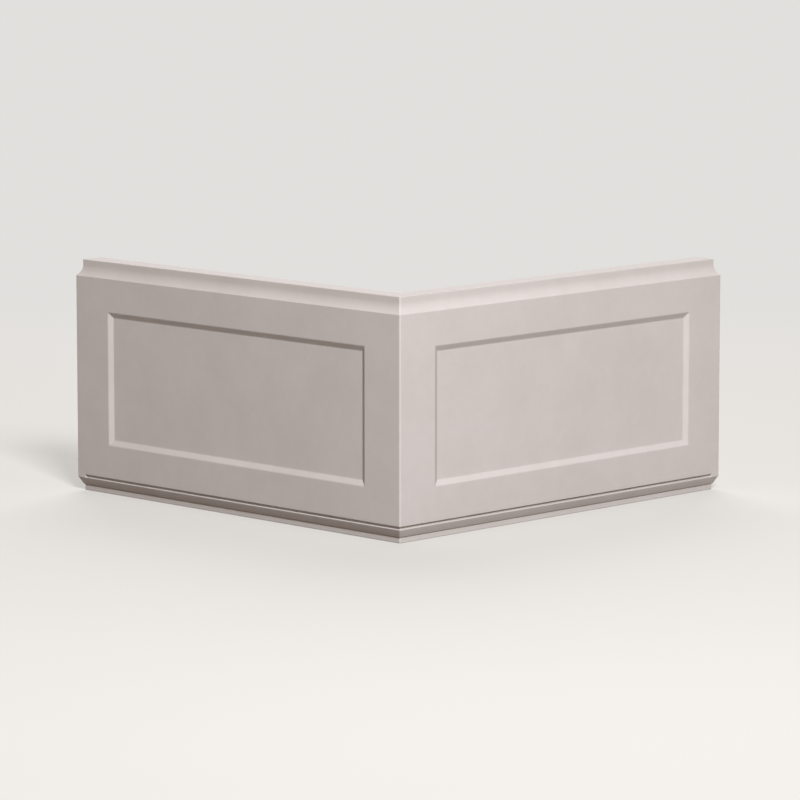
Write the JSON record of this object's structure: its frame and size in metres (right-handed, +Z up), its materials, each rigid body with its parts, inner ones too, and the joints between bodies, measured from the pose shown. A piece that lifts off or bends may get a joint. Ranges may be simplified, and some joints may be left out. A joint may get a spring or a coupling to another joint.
{
  "type": "quoin stone",
  "caption": "L-shaped corner quoin stone with sunk bevelled panels on both outer faces, moulded upper and lower edges returned round both ends, and plain flat backs.",
  "frame": {"origin": "foot of the wall's corner: the point of the bottom bed where the two back faces meet", "axes": "+Z up the wall; the legs run along +X and +Y, so the back faces lie in the planes x = 0 and y = 0 and the outer faces look along -Y and -X"},
  "size_m": [0.595, 0.595, 0.305],
  "materials": {
    "cast_stone": "smooth matt off-white cast stone with a fine, faintly mottled grain"
  },
  "bodies": {
    "root": {"quoin_stone": "cast_stone"}
  },
  "joints": []
}
